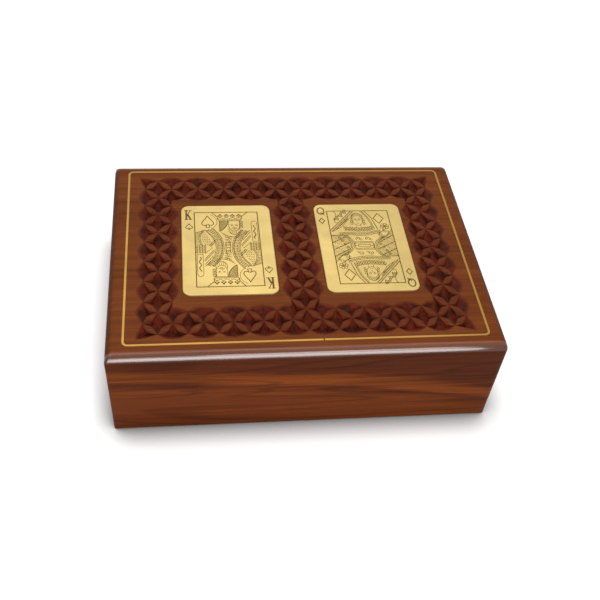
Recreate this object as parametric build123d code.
from build123d import *
import os

# Wooden box for two packs of playing cards. The lid board is fixed and carved, and a drawer
# slides out of the +X end. Millimetres, +Z up. The origin is the middle of the case's underside.
# The long sides face -Y and +Y, and the closed end faces -X.

# ---- Driving dimensions ----

# Case
box_length = 178.0
box_width = 133.0
box_height = 50.0
top_thickness = 10.0
wall_thickness = 9.0
end_thickness = 9.0
base_thickness = 5.0
base_lap = 6.0            # how far the base board reaches under the walls
top_round = 4.0
corner_round_closed = 1.2 # upright edges at the closed end
corner_round_drawer = 2.4 # upright edges at the drawer's end
foot_round = 1.0

# Carved field: a diagonal lattice of pits, round two plain windows
cells_long = 22
cells_wide = 16
band_cells = 2            # width of each carved band, in cells
field_margin_ends = 15.85
field_margin_sides = 13.3
petal_half = 1.15         # half the width of the petals that run diagonally
ridge_half = 0.6          # half the width of the ridge between the two pits of a diamond
ridge_drop = 0.75         # how far that ridge is cut down at the diamond's middle
ridge_end = 1.2           # how much of the ridge stays whole at each end
petal_tip = 0.55          # half the width left between two pits at a petal's tip
scallop = 1.7             # how far the carving swells past the lattice at its edges
pit_slope = 0.9           # depth of a pit for each millimetre of its inner radius

# Brass line let into the top
line_width = 1.0
line_depth = 1.5
line_corner = 2.2
line_inset_ends = 7.8
line_inset_near = 7.5     # the line is laid a little towards the far side
line_inset_far = 5.8
line_joint_x = 5.5        # where the two ends of the strip meet, on the near side
line_joint_gap = 0.5
inlay_clearance = 0.05

# Brass plates, one in each window
plate_thickness = 1.2
plate_proud = 0.4
plate_corner = 4.2
plate_rim = 0.25
plate_margin_ends = 4.35  # from the plate to the window's edge, along the box
plate_margin_sides = 8.15
plate_shift = 1.0         # the plates sit a little towards the far side
frame_margin_ends = 6.7   # from the plate's edge to the engraved frame
frame_margin_sides = 5.0
frame_line = 0.35
frame_depth = 0.15

# Drawer
slide_gap = 0.4
run_gap = 0.25
tail_gap = 0.9
drawer_front_thickness = 10.0
front_lap = 5.0           # how far each drawer side is let into the drawer front
drawer_side_thickness = 6.0
drawer_back_thickness = 6.0
side_drop = 4.0           # how much lower the drawer sides are than its front
drawer_bottom_thickness = 3.0
bottom_lift = 2.5
bottom_groove = 3.0
divider_thickness = 5.0
divider_groove = 1.5
divider_drop = 2.0
lip_round = 1.0
lining_thickness = 1.0
lining_gap = 0.3
groove_clearance = 0.1

# Knob and its screw
knob_reach = 9.0
knob_radius = 5.5
knob_dome_height = 2.6
knob_neck_radius = 2.6
knob_foot_radius = 4.2
knob_foot_thickness = 1.2
knob_screw_radius = 1.25
knob_screw_bite = 4.5     # how far the screw goes into the knob
knob_bore_end = 0.6       # empty bore past the screw's tip
knob_head_radius = 2.75
knob_head_height = 1.8
knob_counterbore = 2.6
bore_clearance = 0.06
head_clearance = 0.3

# Fixings
screw_radius = 1.2
screw_head_radius = 2.3
screw_length = 14.0
screw_sink = 0.25
screw_slot = 0.6
screw_rows = 3            # along each long wall
screw_row_margin = 26.0   # from the case's end to the row's first screw
screw_end_spread = 72.0   # between the two screws in the closed end
pin_radius = 0.6
pin_head_radius = 1.1
pin_head_height = 0.6
pin_length = 16.0
pin_sink = 0.15
pin_edge = 8.0            # from a drawer side's edges to its pins

# ---- Sizes that follow ----

half_length = box_length / 2
half_width = box_width / 2
walls_top = box_height - top_thickness
room_half = half_width - wall_thickness
room_end = -half_length + end_thickness

cell_x = (box_length - 2 * field_margin_ends) / cells_long
cell_y = (box_width - 2 * field_margin_sides) / cells_wide
middle_column = cells_long // 2
middle_row = cells_wide // 2
window_first = band_cells
window_last = middle_column - 1
window_x = (middle_column - (window_first + window_last) / 2) * cell_x
window_length = (window_last - window_first) * cell_x
window_width = (cells_wide - 2 * band_cells) * cell_y
plate_length = window_length - 2 * plate_margin_ends
plate_width = window_width - 2 * plate_margin_sides

drawer_half = room_half - slide_gap
drawer_floor = base_thickness + run_gap
drawer_front_top = walls_top - slide_gap
drawer_side_top = drawer_front_top - side_drop
drawer_tail = room_end + tail_gap
drawer_back_face = drawer_tail + drawer_back_thickness
drawer_front_face = half_length - drawer_front_thickness
drawer_inner_half = drawer_half - drawer_side_thickness
bottom_under = drawer_floor + bottom_lift
bottom_over = bottom_under + drawer_bottom_thickness
divider_x = (drawer_back_face + drawer_front_face) / 2
divider_top = drawer_side_top - divider_drop
knob_z = (drawer_floor + drawer_front_top) / 2


def block(x0, x1, y0, y1, z0, z1):
    """A box between two limits on each axis."""
    middle = Pos((x0 + x1) / 2, (y0 + y1) / 2, (z0 + z1) / 2)
    return middle * Box(x1 - x0, y1 - y0, z1 - z0)


def rod(start, direction, radius, length):
    """A round rod from a point, along a direction."""
    return extrude(Plane(start, z_dir=direction) * Circle(radius), length)


# ---- Case ----

def envelope():
    """The outside of the closed case: a block with every outer edge rounded."""
    def whole():
        return block(-half_length, half_length, -half_width, half_width, 0, box_height)

    upright = whole()
    for end, radius in ((0, corner_round_closed), (-1, corner_round_drawer)):
        corners = upright.edges().filter_by(Axis.Z).group_by(Axis.X)[end]
        upright = fillet(corners, radius)
    shapes = [upright]
    for axis in (Axis.X, Axis.Y):
        body = whole()
        body = fillet(body.edges().filter_by(axis).group_by(Axis.Z)[-1], top_round)
        body = fillet(body.edges().filter_by(axis).group_by(Axis.Z)[0], foot_round)
        shapes.append(body)
    return shapes[0] & shapes[1] & shapes[2]


def base_board_space():
    """The room that the base board fills, under the walls and up to the drawer's end."""
    side = room_half + base_lap
    return block(room_end - base_lap, half_length, -side, side, 0, base_thickness)


def screw_places():
    """Where the base screws go in: a row under each long wall and two under the closed end."""
    side = room_half + base_lap / 2
    reach = half_length - screw_row_margin
    step = 2 * reach / (screw_rows - 1)
    places = [(-reach + n * step, y) for n in range(screw_rows) for y in (-side, side)]
    end = room_end - base_lap / 2
    return places + [(end, -screw_end_spread / 2), (end, screw_end_spread / 2)]


def screw_bores():
    """The countersunk holes for the base screws, through the board and into the walls."""
    sink = screw_head_radius + screw_sink
    cone_height = sink - screw_radius
    bores = []
    for x, y in screw_places():
        shaft = rod((x, y, 0), (0, 0, 1), screw_radius + bore_clearance, screw_length + 1)
        sunk = Pos(x, y, cone_height / 2) * Cone(sink, screw_radius, cone_height)
        bores.append(shaft + sunk)
    return bores


def base_screws():
    """Slotted countersunk screws, their heads just below the base board's face."""
    cone_height = screw_head_radius - screw_radius
    screws = []
    for x, y in screw_places():
        shaft = rod((x, y, screw_sink), (0, 0, 1), screw_radius, screw_length - screw_sink)
        head = Pos(x, y, screw_sink + cone_height / 2)
        head = head * Cone(screw_head_radius, screw_radius, cone_height)
        slot = block(x - screw_head_radius, x + screw_head_radius,
                     y - screw_slot / 2, y + screw_slot / 2, 0, screw_sink + screw_slot)
        screws.append(shaft + head - slot)
    return Compound(children=[screw.solid() for screw in screws])


def walls(outside):
    """The two full-length walls, and the end wall that stands between them."""
    bores = screw_bores()
    base = base_board_space()
    made = {}
    for name, side in (("front_wall", -1), ("back_wall", 1)):
        inner, outer = sorted((side * room_half, side * half_width))
        wall = block(-half_length, half_length, inner, outer, 0, walls_top)
        made[name] = (wall & outside) - base - bores
    end = block(-half_length, room_end, -room_half, room_half, 0, walls_top)
    made["end_wall"] = (end & outside) - base - bores
    made["base_panel"] = (base & outside) - bores
    return made


# ---- Carving ----

def bow(start, end, rise):
    """A line from start to end, or an arc that rises to the left of that way."""
    start, end = Vector(*start), Vector(*end)
    if abs(rise) < 1e-6:
        return Line(start, end)
    along = (end - start).normalized()
    crown = (start + end) / 2 + Vector(-along.Y, along.X) * rise
    return ThreePointArc(start, crown, end)


def incircle(corners):
    """The centre and the radius of the circle inside a triangle."""
    a, b, c = [Vector(*corner) for corner in corners]
    lengths = [(b - c).length, (c - a).length, (a - b).length]
    around = sum(lengths)
    centre = (a * lengths[0] + b * lengths[1] + c * lengths[2]) / around
    twice_area = abs((b - a).cross(c - a).Z)
    return centre, twice_area / around


def pit(corners, rises):
    """A three-sided pit. The corners go round anticlockwise, and each side bows inwards by its
    rise, or outwards where the rise is negative. The sides run down to one point."""
    centre, radius = incircle(corners)
    shrink = 1 - petal_tip / radius
    tips = [centre + (Vector(*corner) - centre) * shrink for corner in corners]
    sides = [bow(tips[n], tips[(n + 1) % 3], rises[n]) for n in range(3)]
    outline = make_face(sides)
    depth = pit_slope * (radius - petal_tip)
    return loft([outline, Vertex(centre.X, centre.Y, -depth)])


def is_carved(column, row):
    """Whether a point of the lattice, counted in cells, is in a carved band."""
    if not (0 < column < cells_long and 0 < row < cells_wide):
        return False
    from_middle = abs(column - middle_column)
    beside_window = 1 < from_middle < middle_column - band_cells
    return not (beside_window and band_cells < row < cells_wide - band_cells)


def pit_shapes():
    """The pits on the right of a diamond of the lattice, about the diamond's middle, for each way
    that its quarters can be carved."""
    x, y = cell_x, cell_y
    inward = petal_half - petal_tip
    ridge = ridge_half - petal_tip
    outward = -scallop
    top, right, bottom, middle = (0, y), (x, 0), (0, -y), (0, 0)
    return {
        "whole": pit([bottom, right, top], [inward, inward, ridge]),
        "edge": pit([bottom, right, top], [inward, inward, outward]),
        "half": pit([(0, -scallop), right, top], [outward / 3, inward, ridge]),
        "quarter": pit([middle, right, top], [0, inward, ridge]),
        "corner": pit([(-scallop, -scallop), right, top], [outward / 4, inward, outward / 4]),
    }


def pit_kind(near, other):
    """Which pit fills one side of a diamond, from whether its two quarters on this side are
    carved, and the two on the other side."""
    if all(near):
        return "whole" if any(other) else "edge"
    if all(other):
        return "quarter"
    return "half" if any(other) else "corner"


def ridge_dip():
    """A shallow four-sided hollow that cuts down the ridge in the middle of a diamond."""
    x, y = cell_x - ridge_end, cell_y - ridge_end
    corners = [(0, -y), (x, 0), (0, y), (-x, 0)]
    outline = make_face([bow(corners[n - 1], corners[n], petal_half) for n in range(4)])
    return loft([outline, Vertex(0, 0, -ridge_drop)])


def carving():
    """All the pits of the carved field, standing under the top face."""
    shapes = pit_shapes()
    dip = ridge_dip()
    cuts = []
    for column in range(cells_long + 1):
        for row in range(cells_wide + 1):
            if (column + row) % 2:
                continue
            place = Pos((column - middle_column) * cell_x, (row - middle_row) * cell_y, box_height)
            sides = {side: [is_carved(column + side / 2, row + half) for half in (0.5, -0.5)]
                     for side in (1, -1)}
            for side, near in sides.items():
                if not any(near):
                    continue
                shape = shapes[pit_kind(near, sides[-side])]
                if not near[0]:
                    shape = mirror(shape, about=Plane.XZ)
                if side < 0:
                    shape = mirror(shape, about=Plane.YZ)
                cuts.append(place * shape)
            if all(sides[1] + sides[-1]):
                cuts.append(place * dip)
    return cuts


# ---- Brass in the top ----

def line_ring(grow):
    """The brass line's plan, widened on both edges by a clearance."""
    length = box_length - 2 * line_inset_ends
    width = box_width - line_inset_near - line_inset_far
    place = Pos(0, (line_inset_near - line_inset_far) / 2)
    spread = line_width + 2 * grow
    outer = RectangleRounded(length + spread, width + spread, line_corner + spread / 2)
    inner = RectangleRounded(length - spread, width - spread, line_corner - spread / 2)
    return place * (outer - inner)


def line_groove():
    return extrude(Plane.XY.offset(box_height) * line_ring(inlay_clearance), -line_depth)


def border_line():
    """One strip of brass bent round the top, with a small gap where its ends meet."""
    strip = extrude(Plane.XY.offset(box_height) * line_ring(0), -line_depth)
    gap = block(line_joint_x, line_joint_x + line_joint_gap,
                -half_width, -half_width + 2 * line_inset_near, walls_top, box_height + 1)
    return strip - gap


def plate_plan(grow):
    return RectangleRounded(plate_length + 2 * grow, plate_width + 2 * grow, plate_corner + grow)


def plate_recess(x):
    plan = Pos(x, plate_shift) * plate_plan(inlay_clearance)
    return extrude(Plane.XY.offset(box_height) * plan, plate_proud - plate_thickness)


def plate(x):
    """A brass plate with a softened rim and one engraved frame."""
    under = box_height + plate_proud - plate_thickness
    plan = Pos(x, plate_shift) * plate_plan(0)
    body = extrude(Plane.XY.offset(under) * plan, plate_thickness)
    body = chamfer(body.faces().sort_by(Axis.Z)[-1].edges(), plate_rim)
    frame_length = plate_length - 2 * frame_margin_ends
    frame_width = plate_width - 2 * frame_margin_sides
    frame = Rectangle(frame_length, frame_width)
    frame = frame - Rectangle(frame_length - 2 * frame_line, frame_width - 2 * frame_line)
    face = Plane.XY.offset(box_height + plate_proud)
    return body - extrude(face * (Pos(x, plate_shift) * frame), -frame_depth)


def top_panel(outside):
    """The lid board, with its carving, the line's groove and the two recesses."""
    board = block(-half_length, half_length, -half_width, half_width, walls_top, box_height)
    board = (board - carving()) & outside
    board = board - line_groove()
    for x in (-window_x, window_x):
        board = board - plate_recess(x)
    return board


# ---- Drawer ----

def bottom_board(grow):
    """The drawer's bottom board, in grooves in the front and the sides, and under the back."""
    reach = drawer_inner_half + bottom_groove + grow
    return block(drawer_tail, drawer_front_face + bottom_groove + grow, -reach, reach,
                 bottom_under - grow, bottom_over + grow)


def divider_board(grow):
    """The board across the drawer, housed in both sides."""
    reach = drawer_inner_half + divider_groove + grow
    half = divider_thickness / 2 + grow
    return block(divider_x - half, divider_x + half, -reach, reach, bottom_over, divider_top)


def pin_places():
    """Where each pin starts and which way it goes: two at each corner of the drawer."""
    face = drawer_half - pin_sink
    corners = (drawer_front_face + front_lap / 2, drawer_tail + drawer_back_thickness / 2)
    heights = (bottom_over + pin_edge / 2, drawer_side_top - pin_edge)
    return [(x, side * face, z, -side) for x in corners for z in heights for side in (-1, 1)]


def pins(grow, extra):
    """The drawer's pins, or with a clearance and some extra length the holes for them."""
    made = []
    for x, y, z, way in pin_places():
        start = (x, y - way * extra, z)
        shaft = rod(start, (0, way, 0), pin_radius + grow, pin_length + 2 * extra)
        head = rod(start, (0, way, 0), pin_head_radius + grow, pin_head_height + extra)
        made.append((shaft + head).solid())
    return made


def knob_screw_start():
    return drawer_front_face + knob_counterbore


def knob_bores():
    """The counterbore and the through hole for the knob's screw."""
    wide = rod((drawer_front_face, 0, knob_z), (1, 0, 0), knob_head_radius + head_clearance,
               knob_counterbore)
    narrow = rod((drawer_front_face, 0, knob_z), (1, 0, 0), knob_screw_radius + bore_clearance,
                 drawer_front_thickness)
    return [wide, narrow]


def drawer_front():
    front = block(drawer_front_face, half_length, -drawer_half, drawer_half,
                  drawer_floor, drawer_front_top)
    laps = [block(drawer_front_face, drawer_front_face + front_lap,
                  *sorted((side * drawer_inner_half, side * drawer_half)),
                  drawer_floor, drawer_side_top) for side in (-1, 1)]
    cuts = laps + [bottom_board(groove_clearance)] + knob_bores()
    return front - cuts - pins(bore_clearance, bore_clearance)


def drawer_side(side):
    low, high = sorted((side * drawer_inner_half, side * drawer_half))
    board = block(drawer_tail, drawer_front_face + front_lap, low, high,
                  drawer_floor, drawer_side_top)
    lip = board.edges().filter_by(Axis.X).group_by(Axis.Z)[-1]
    board = fillet(lip, min(lip_round, 0.4 * drawer_side_thickness))
    cuts = [bottom_board(groove_clearance), divider_board(groove_clearance)]
    return board - cuts - pins(bore_clearance, bore_clearance)


def drawer_back():
    board = block(drawer_tail, drawer_back_face, -drawer_inner_half, drawer_inner_half,
                  bottom_over, drawer_side_top)
    lip = board.edges().filter_by(Axis.Y).group_by(Axis.Z)[-1]
    board = fillet(lip, min(lip_round, 0.4 * drawer_back_thickness))
    return board - pins(bore_clearance, bore_clearance)


def drawer_divider():
    board = divider_board(0)
    lip = board.edges().filter_by(Axis.Y).group_by(Axis.Z)[-1]
    return fillet(lip, min(lip_round, 0.4 * divider_thickness))


def lining(x0, x1):
    """A felt sheet on the bottom of one compartment."""
    reach = drawer_inner_half - lining_gap
    return block(x0 + lining_gap, x1 - lining_gap, -reach, reach,
                 bottom_over, bottom_over + lining_thickness)


def knob():
    """A turned brass knob: a foot, a neck and a domed head, with a bore for its screw."""
    head_depth = knob_reach - knob_foot_thickness
    shoulder = knob_foot_thickness + 0.25 * head_depth
    rim = knob_reach - knob_dome_height
    foot = Polyline((0, 0), (0, knob_foot_radius), (knob_foot_thickness, knob_foot_radius),
                    (knob_foot_thickness, knob_neck_radius), (shoulder, knob_neck_radius))
    flare = TangentArc(foot @ 1, (rim, knob_radius), tangent=(0, 1))
    dome = ThreePointArc((rim, knob_radius), (knob_reach, 0), (rim, -knob_radius)).trim(0, 0.5)
    profile = make_face([foot, flare, dome, Line(dome @ 1, (0, 0))])
    turned = revolve(Plane.XZ * profile, Axis.X)
    bore = rod((0, 0, 0), (1, 0, 0), knob_screw_radius + bore_clearance,
               knob_screw_bite + knob_bore_end)
    return Pos(half_length, 0, knob_z) * (turned - bore)


def knob_screw():
    """A slotted round-headed screw from inside the drawer front into the knob."""
    seat = knob_screw_start()
    shaft_length = half_length - seat + knob_screw_bite
    shaft = rod((seat, 0, knob_z), (1, 0, 0), knob_screw_radius, shaft_length)
    head = rod((seat, 0, knob_z), (-1, 0, 0), knob_head_radius, knob_head_height)
    head = fillet(head.faces().sort_by(Axis.X)[0].edges(), 0.4 * knob_head_height)
    slot = block(seat - knob_head_height - 1, seat - knob_head_height + screw_slot,
                 -knob_head_radius, knob_head_radius, knob_z - screw_slot / 2,
                 knob_z + screw_slot / 2)
    return shaft + head - slot


# ---- All nodes ----

def build():
    outside = envelope()
    nodes = walls(outside)
    nodes["top_panel"] = top_panel(outside)
    nodes["border_line"] = border_line()
    nodes["king_plate"] = plate(-window_x)
    nodes["queen_plate"] = plate(window_x)
    nodes["base_screws"] = base_screws()
    nodes["drawer_front"] = drawer_front()
    nodes["drawer_side_near"] = drawer_side(-1)
    nodes["drawer_side_far"] = drawer_side(1)
    nodes["drawer_back"] = drawer_back()
    nodes["drawer_bottom"] = bottom_board(0)
    nodes["drawer_divider"] = drawer_divider()
    nodes["lining_inner"] = lining(drawer_back_face, divider_x - divider_thickness / 2)
    nodes["lining_outer"] = lining(divider_x + divider_thickness / 2, drawer_front_face)
    nodes["drawer_pins"] = Compound(children=pins(0, 0))
    nodes["knob"] = knob()
    nodes["knob_screw"] = knob_screw()
    return nodes


os.makedirs("parts", exist_ok=True)
for node_name, shape in build().items():
    export_step(shape, f"parts/{node_name}.step")
